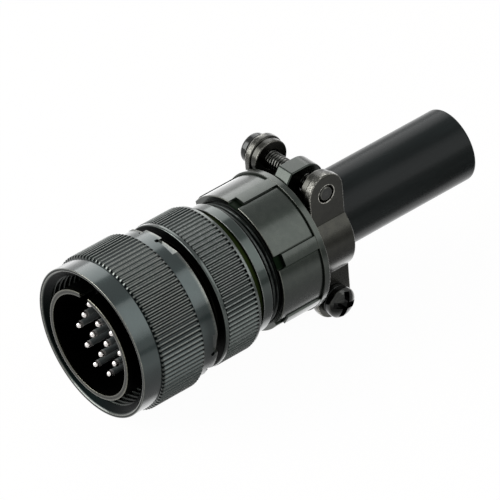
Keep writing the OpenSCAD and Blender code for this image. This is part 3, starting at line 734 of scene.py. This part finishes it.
def makeLug(side, end):
    screwX, screwZ = end + collar["screwBehind"], collar["screwOffset"]
    top, foot = screwZ + lug["radius"], collar["pad"] - lug["footDrop"]
    outline = [(end - lug["sunk"], collar["channel"] + lug["tubeFit"]), (screwX, screwZ - lug["radius"])]
    outline += [(screwX + lug["radius"] * math.sin(t), screwZ - lug["radius"] * math.cos(t))
                for t in np.linspace(0, math.pi, lug["arcPoints"])[1:-1]]
    outline += [(screwX, top), (end + lug["slope"], top), (end, foot), (end - lug["sunk"], foot)]
    nearY = -side * lug["shift"] - lug["width"] / 2
    shape = bmesh.new()
    near = [shape.verts.new((x * mm, nearY * mm, side * z * mm)) for x, z in outline]
    far = bmesh.ops.extrude_face_region(shape, geom=[shape.faces.new(near)])
    moved = [v for v in far["geom"] if isinstance(v, bmesh.types.BMVert)]
    bmesh.ops.translate(shape, verts=moved, vec=(0, lug["width"] * mm, 0))
    bmesh.ops.recalc_face_normals(shape, faces=shape.faces)
    sharp = [e for e in shape.edges if e.calc_face_angle(0) > math.radians(lug["edgeFrom"])]
    bmesh.ops.bevel(shape, geom=sharp, offset=lug["edge"] * mm, segments=3, profile=0.5, affect="EDGES")
    mesh = bpy.data.meshes.new("clampLug")
    shape.to_mesh(mesh)
    shape.free()
    depth = mesh.attributes.new("depth", "FLOAT", "POINT")
    depth.data.foreach_set("value", [lug["matt"]] * len(mesh.vertices))
    piece = addObject("clampLug", mesh)
    cutWith(piece, [pinAcross(screwX, side * screwZ, collar["holeRadius"], -lug["drill"], lug["drill"])])
    return piece


def makeCollar():
    c = collar
    low, high = span("clamp_body")
    front = low.x
    end = high.x - lug["radius"] - c["screwBehind"]
    flangeStart, notchEnd, wallStart = end - c["flangeLength"], front + c["notchLength"], end - c["wall"]
    pad, step, margin = c["pad"], c["notchStep"], c["rowMargin"]
    corners = [(front, c["bore"], 0.3, 0.3), (front, pad, 0.2, 0.4), (notchEnd - step, pad, 0, 0),
               (notchEnd + step, pad, 0, 0)]
    corners += [(x, pad, 0, 0) for x in np.linspace(notchEnd + margin, flangeStart - margin, c["rows"])]
    corners += [(flangeStart - x, pad, 0, 0) for x in c["seamRows"]]
    corners += [(flangeStart, c["flange"], 0.1, 0.2), (end, c["flange"], 0.18, 0.4),
                (end, c["channel"], 0.3, 0.5), (wallStart, c["channel"], 0.1, 0),
                (wallStart, c["bore"], 0.1, 0)]
    between = math.tau / c["ribs"]
    halfRib = math.asin(c["ribWidth"] / 2 / pad)
    halfNotch = math.asin((c["ribWidth"] / 2 + c["notchSide"]) / pad)
    slope, footAt, footWidth = (math.radians(c[key]) for key in ("ribSlope", "footAt", "footWidth"))

    def ribs(xs, rs, angle):
        x, depth = xs[0], np.zeros_like(rs)
        if x > flangeStart - 0.005 or rs[0] < pad - 0.35:
            return xs, rs, depth
        off = np.abs((angle - math.radians(c["ribTurn"]) + between / 2) % between - between / 2)
        if x < notchEnd:
            # painted shade in the notch
            inNotch = np.clip((halfNotch - off) / slope + 0.5, 0, 1)
            return xs, rs - c["notchDepth"] * inNotch, inNotch
        onRib = np.clip((halfRib - off) / slope + 0.5, 0, 1)
        # painted shadow: dark lines beside each rib and along the flange
        foot = np.clip(1 - np.abs(off - halfRib - footAt) / footWidth, 0, 1) * (onRib < 0.5)
        flangeShadow = (x > flangeStart - c["flangeShadow"]) * (1 - onRib)
        return xs, rs + c["ribHeight"] * onRib, np.maximum(foot, flangeShadow)

    piece = addObject("clampCollar", turnedMesh("clampCollar", roundedRows(corners), c["segments"], ribs))
    joinInto(piece, [makeLug(side, end) for side in (1, -1)])
    dress(piece, "plug", clampMetal, "clamp_body")


makeCollar()


# screws with rolled threads

screw = {"segments": 48, "perTurn": 8, "shank": 2.08, "threadDepth": 0.36, "pitch": 0.794, "threadGap": 0.3,
         "threadStop": 0.55, "tipDrops": (0.2, 0.55), "threadRub": 0.45, "rootShade": 0.9,
         "head": 3.7, "headHeight": 3.0, "middle": 0.02,
         "slotWidth": 1.5, "slotDepth": 1.8, "slotLength": 3.05, "slotTurn": 20.0}


def makeScrew(name, node, body, headSide):
    s = screw
    low, high = span(node)
    length = high.y - low.y
    top = Vector(((low.x + high.x) / 2, high.y if headSide > 0 else low.y, (low.z + high.z) / 2))
    headEnd, shank = s["headHeight"], s["shank"]
    threadFrom, threadTo = headEnd + s["threadGap"], length - s["threadStop"]
    tipStart, tipEnd = (shank - drop for drop in s["tipDrops"])
    # drawn along +X from the domed head to the tip
    head = [(0.0, s["middle"], 0, 0), (0.1, 1.2, 0, 0.1), (0.38, 2.2, 0, 0.1), (0.8, 3.0, 0.3, 0.2),
            (1.4, s["head"], 0.6, 0.3), (headEnd, s["head"], 0.3, 0.3), (headEnd, shank, 0.1, 0)]
    turns = threadRows(threadFrom, threadTo, s["pitch"], s["perTurn"], shank, s["threadRub"])
    tip = [(threadTo + rowGap, tipStart, 0, 0.3), (length, tipEnd, 0.15, 1.0), (length, s["middle"], 0, 0.3)]
    rows = roundedRows(head) + turns + roundedRows(tip)

    def thread(xs, rs, angle):
        if abs(rs[0] - shank) < touching and xs[0] > headEnd + 0.2:
            height = threadHeight(xs, angle, s["pitch"])
            # painted shade in the thread's roots
            return xs, rs - s["threadDepth"] * (1 - height), s["rootShade"] * (1 - height)
        return xs, rs, np.zeros_like(rs)

    points, wear, depth = turnedPoints(rows, s["segments"], thread)
    faces = ringQuads(0, len(rows), s["segments"]) + endCaps(len(points), s["segments"])
    # head to tip runs along -Y for a head on the +Y side
    turn = Matrix.Rotation(-headSide * math.pi / 2, 3, "Z")
    points = points @ np.array(turn).T + np.array(top)
    piece = addObject(name, meshOf(name, points, faces, wear, depth))
    spot = Matrix.Translation(top * mm) @ Matrix.Rotation(math.radians(s["slotTurn"]), 4, "Y")
    half, deep, arm = s["slotWidth"] / 2, s["slotDepth"], s["slotLength"]
    cutWith(piece, [blockAt((-half, -deep, -arm), (half, deep, arm), spot),
                    blockAt((-arm, -deep, -half), (arm, deep, half), spot)])
    dress(piece, body, screwMetal, node)


makeScrew("upperScrew", "upper_screw", "upper_screw_body", 1)
makeScrew("lowerScrew", "lower_screw", "lower_screw_body", -1)


# saddles

saddle = {"width": 9.7, "wall": 4.1, "bulge": 3.0, "bend": 6.9, "bendSoft": 0.12, "plate": 1.9, "boss": 1.7,
          "bossDrop": 0.35, "channel": 8.9, "edge": 0.4, "mostOfWidth": 0.9, "leastHalf": 0.02,
          "bendLift": 0.1, "tapped": 2.13, "drilled": 2.43, "cutClear": 3.0,
          "sink": 0.22, "lipInset": 0.06, "lipDepth": 0.1,
          "ringSegments": 64, "sharpAngle": 50, "midMargin": 4.8, "midRows": 41,
          "lugFrom": 1.5, "lugRub": 0.5, "bendRub": 0.1, "sideRub": 0.4, "edgeRub": 1.6, "lipRub": 2.0}
saddleHalf = saddle["width"] / 2
saddleFace = saddle["channel"] + saddle["wall"] - saddle["bulge"]  # of the lugs, from the axis
saddleInside = saddleFace - saddle["plate"] - saddle["boss"]


def saddleStations(reach):
    # close together at the lugs' round ends and at the bends
    ends = reach - np.array([0.02, 0.06, 0.13, 0.22, 0.32, 0.45, 0.7, 1.0, 1.4, 1.9, 2.5, 3.2, 4.0])
    beside = np.array([0.02, 0.06, 0.16, 0.3, 0.5])
    bends = saddle["bend"] + np.concatenate((-beside, beside))
    between = np.linspace(-reach + saddle["midMargin"], reach - saddle["midMargin"], saddle["midRows"])
    return np.unique(np.concatenate((ends, -ends, bends, -bends, between)))


def saddleShape(reach):
    # section by section from the lower lug's end to the upper one's; y is the distance from the axis
    s = saddle
    face = saddleFace
    bulgeRadius = (s["bulge"] ** 2 + s["bend"] ** 2) / (2 * s["bulge"])
    bulgeCentre = face + s["bulge"] - bulgeRadius
    corner = [(1 - math.sin(t), 1 - math.cos(t)) for t in np.linspace(0, math.pi / 2, 5)]
    sidePoints, edgePoints = (0, 9, 10, 19), (1, 2, 3, 6, 7, 8)  # in a section's ring, five to a corner
    stations = saddleStations(reach)
    points, wear = [], []
    for z in stations:
        over = max(0.0, abs(z) - (reach - saddleHalf))
        w = math.sqrt(max(saddleHalf ** 2 - over ** 2, s["leastHalf"] ** 2))
        arc = bulgeCentre + math.sqrt(max(bulgeRadius ** 2 - z * z, 0.0))
        rise = (arc - face) / s["bendSoft"]
        outer = face + s["bendSoft"] * math.log(1 + math.exp(rise))  # a soft bend from lug to bulge
        if abs(z) < s["bend"]:
            inner = max(math.sqrt(max(s["channel"] ** 2 - z * z, 0.0)), saddleInside)
        else:
            outer, inner = min(outer, face + s["bendLift"]), face - s["plate"]
        left = reach - abs(z)
        soft = s["edge"] - math.sqrt(s["edge"] ** 2 - max(s["edge"] - left, 0.0) ** 2)
        outer, inner = outer - soft, inner + soft
        e = min(s["edge"], edgeRounding["mostOfFace"] * (outer - inner), s["mostOfWidth"] * w)
        ring = [(-w + e * u, outer - e * v) for u, v in corner[::-1]]
        ring += [(w - e * u, outer - e * v) for u, v in corner]
        ring += [(w - e * u, inner + e * v) for u, v in corner[::-1]]
        ring += [(-w + e * u, inner + e * v) for u, v in corner]
        points += [(x, -y, z) for x, y in ring]
        rubbed = s["lugRub"] if abs(z) > s["bend"] + s["lugFrom"] else s["bendRub"]
        for k in range(len(ring)):
            share = s["sideRub"] if k in sidePoints else s["edgeRub"] if k in edgePoints else 0.0
            wear.append(share * rubbed)
    count = 4 * len(corner)
    faces = ringQuads(0, len(stations), count) + endCaps(len(points), count)
    return np.array(points), faces, np.array(wear)


def saddleRing(name, corners, x, z):
    # turned about a screw's axis, drawn outwards along -Y
    rows, segments = roundedRows(corners), saddle["ringSegments"]
    points, wear, depth = turnedPoints(rows, segments)
    points = np.stack((points[:, 1] + x, -points[:, 0], points[:, 2] + z), 1)
    return addObject(name, meshOf(name, points, ringQuads(0, len(rows), segments, True), wear, depth))


def makeSaddle(name, node, body, flip):
    s = saddle
    face, inside, tapped = saddleFace, saddleInside, s["tapped"]
    sunk, lipRub = tapped + s["sink"], s["lipRub"]
    low, high = span(node)
    middleX, reach = (low.x + high.x) / 2, high.z
    screwZ = reach - saddleHalf
    points, faces, wear = saddleShape(reach)
    points = points + np.array((middleX, 0, 0))
    piece = addObject(name, meshOf(name, points, faces, wear, np.zeros(len(points)), s["sharpAngle"]))
    holes = {1: tapped, -1: s["drilled"]}
    outside = -face - s["cutClear"]
    cutters = [pinAcross(middleX, side * screwZ, radius, outside, 0) for side, radius in holes.items()]
    cutters.append(pinAcross(middleX, screwZ, sunk, outside, -face + s["sink"]))
    cutWith(piece, cutters)
    rings = []
    for side, radius in holes.items():
        boss, seat = saddleHalf - s["bossDrop"], face - s["plate"] / 2
        corners = [(inside, radius, 0.1, 0.2), (inside, boss, 0.35, 0.4), (seat, boss, 0, 0.1),
                   (seat, radius, 0, 0)]
        rings.append(saddleRing("boss", corners, middleX, side * screwZ))
    # bright lip round the tapped hole, where the tap broke the plating
    lip = [(face, tapped + s["lipInset"], 0, lipRub), (face, sunk, 0, lipRub), (face - s["sink"], sunk, 0, 0),
           (face - s["sink"], tapped, 0, 0), (face - s["lipDepth"], tapped, 0, lipRub)]
    rings.append(saddleRing("lip", lip, middleX, screwZ))
    joinInto(piece, rings)
    if flip:
        ys = [v.co.y for v in piece.data.vertices]
        shift = (low.y + high.y) / 2 * mm + (max(ys) + min(ys)) / 2
        piece.data.transform(Matrix.Translation((0, shift, 0)) @ Matrix.Rotation(math.pi, 4, "X"))
    dress(piece, body, saddleMetal, node)


makeSaddle("nearSaddle", "near_saddle", "plug", False)
makeSaddle("farSaddle", "far_saddle", "far_clamp", True)


# solids that keep their own shape, as (finish, width of the softened edges)

kept = {"upper_lock_washer": (screwMetal, 0.12), "lower_lock_washer": (screwMetal, 0.12),
        "nut_retaining_ring": (plainMetal, 0.1), "insert_lock_ring": (plainMetal, 0.1),
        "slip_washer_ring": (plainMetal, 0.1), "front_insert": (insulator, 0.0),
        "rear_insert": (insulator, 0.0)}
kept.update({name: (pinMetal, 0.0) for name in nodes if name.startswith("contact_")})
softening = {"weld": 0.002, "flatAngle": 0.5, "edgeFrom": 30, "segments": 3}


def softenEdges(solid, width):
    weld = solid.modifiers.new("weld", "WELD")
    weld.merge_threshold = softening["weld"] * mm
    flat = solid.modifiers.new("flatFaces", "DECIMATE")
    flat.decimate_type, flat.angle_limit = "DISSOLVE", math.radians(softening["flatAngle"])
    soft = solid.modifiers.new("softEdges", "BEVEL")
    soft.width, soft.segments = width * mm, softening["segments"]
    soft.limit_method, soft.angle_limit = "ANGLE", math.radians(softening["edgeFrom"])
    evenShading(solid)


for name, (material, edge) in kept.items():
    solid = nodes[name]
    solid.data.materials.clear()
    solid.data.materials.append(material)
    if edge:
        softenEdges(solid, edge)
print("kept solids finished:", len(kept))


# floor, light and camera

studio = {"floorSize": 4000.0, "floorGap": 0.3, "floorGrain": 40.0,
          "floorColour": (0.86, 0.79, 0.76, 1), "floorPatch": (0.88, 0.82, 0.79, 1), "whiteSeen": 0.975,
          "frontGlow": (0.3, 1.1), "frontFrom": -17.0, "frontFull": -60.0,
          "farDim": 0.45, "farFrom": 88.0, "farFull": 118.0,
          "underGlow": 0.75, "underFrom": -17.5, "underFull": -13.8,
          "tubeGlow": 0.5, "tubeFrom": 52.0, "tubeFull": 60.0,
          "horizon": (1, 1, 1, 1), "zenith": (0.9, 0.91, 0.92, 1), "riseFrom": 0.25, "riseTo": 0.75,
          "skyOnObject": 0.45}


def ramped(tree, place, low, high, label):
    # from one strength to another between two places on the floor
    return spread(tree, place, low, high, studio[label + "From"] * mm, studio[label + "Full"] * mm)


def makeFloor():
    half, level = studio["floorSize"] * mm / 2, cadBox[0][2] - studio["floorGap"] * mm
    mesh = bpy.data.meshes.new("floor")
    mesh.from_pydata([(x * half, y * half, level) for x, y in ((-1, -1), (1, -1), (1, 1), (-1, 1))], [],
                     [(0, 1, 2, 3)])
    floor = addObject("floor", mesh)
    material = bpy.data.materials.new("paleFloor")
    tree, surface = emptyTree(material, "OutputMaterial")
    place = put(tree, "TexCoord").outputs["Object"]
    tone = blend(tree, noise(tree, place, studio["floorGrain"]), studio["floorColour"], studio["floorPatch"])
    paper = put(tree, "BsdfDiffuse", Color=tone)
    path = put(tree, "LightPath").outputs
    mirrored = reckon(tree, "MAXIMUM", path["Is Glossy Ray"], path["Is Transmission Ray"])
    # painted reflection: what the part's own reflections see is paper with painted shade towards the part and
    # a painted glow under it
    along, across = put(tree, "SeparateXYZ", Vector=place).outputs[:2]
    front = ramped(tree, across, *studio["frontGlow"], "front")
    front = reckon(tree, "MULTIPLY", front, ramped(tree, along, 1, studio["farDim"], "far"))
    strength = ramped(tree, along, studio["underGlow"], studio["underGlow"] + studio["tubeGlow"], "tube")
    under = ramped(tree, across, 0, 1, "under")
    glow = put(tree, "Math", {"operation": "MULTIPLY_ADD"}, i0=under, i1=strength, i2=front).outputs[0]
    white = put(tree, "Emission", Color=(1, 1, 1, 1), Strength=spread(tree, mirrored, 1.0, glow, 0, 1))
    seen = times(tree, path["Is Camera Ray"], studio["whiteSeen"])
    share = reckon(tree, "MAXIMUM", seen, mirrored)
    mixed = put(tree, "MixShader", i0=share, i1=paper.outputs[0], i2=white.outputs[0])
    tree.links.new(mixed.outputs[0], surface)
    mesh.materials.append(material)


def makeSky():
    world = bpy.data.worlds.new("studioSky")
    tree, surface = emptyTree(world, "OutputWorld")
    way = put(tree, "TexCoord").outputs["Generated"]
    up = put(tree, "SeparateXYZ", Vector=way).outputs[2]
    rise = spread(tree, up, 0, 1, studio["riseFrom"], studio["riseTo"])
    tone = blend(tree, rise, studio["horizon"], studio["zenith"])
    path = put(tree, "LightPath").outputs
    seen = reckon(tree, "MAXIMUM", path["Is Camera Ray"], path["Is Glossy Ray"])
    seen = reckon(tree, "MAXIMUM", seen, path["Is Transmission Ray"])
    level = spread(tree, seen, studio["skyOnObject"], 1.0, 0.0, 1.0)
    back = put(tree, "Background", Color=tone, Strength=level)
    tree.links.new(back.outputs[0], surface)
    bpy.context.scene.world = world


softboxes = {"backBox": {"way": (0.487, 0.665, 0.566), "away": 0.9, "size": (0.36, 0.6), "level": 2.2},
             "sideBox": {"way": (0.487, -0.64, 0.59), "away": 0.9, "size": (0.36, 0.82), "level": 1.9},
             "leftBox": {"way": (-0.76, 0.45, 0.47), "away": 0.9, "size": (0.7, 0.7), "level": 7.0}}


def makeLights():
    middle = (Vector(cadBox[0]) + Vector(cadBox[1])) / 2
    for name, box in softboxes.items():
        lamp = bpy.data.lights.new(name, "AREA")
        lamp.shape = "RECTANGLE"
        lamp.size, lamp.size_y = box["size"]
        lamp.energy = box["level"] * math.pi * box["size"][0] * box["size"][1]  # level is the brightness seen
        holder = addObject(name, lamp)
        way = Vector(box["way"]).normalized()
        holder.location = middle + way * box["away"]
        holder.rotation_euler = way.to_track_quat("Z", "Y").to_euler()
        holder.visible_camera = False


photoView = {"azimuth": -37.163, "elevation": 36.262, "roll": -4.88, "aim": (46.9, 1.4, 0.15), "away": 1505.0,
             "lens": 493.6, "sensor": 36.0, "clip": (0.05, 20)}


def makeCamera():
    view = photoView
    shot = bpy.data.cameras.new("photoCamera")
    shot.lens, shot.sensor_width = view["lens"], view["sensor"]
    shot.clip_start, shot.clip_end = view["clip"]
    holder = addObject("photoCamera", shot)
    turn = (Matrix.Rotation(math.radians(view["azimuth"]), 4, "Z")
            @ Matrix.Rotation(math.radians(90 - view["elevation"]), 4, "X")
            @ Matrix.Rotation(math.radians(view["roll"]), 4, "Z"))
    place = Vector(view["aim"]) * mm + turn.to_3x3() @ Vector((0, 0, view["away"] * mm))
    holder.matrix_world = Matrix.Translation(place) @ turn
    bpy.context.scene.camera = holder


makeFloor()
makeSky()
makeLights()
makeCamera()
bpy.context.scene.view_settings.view_transform = "Standard"
print("stage ready")
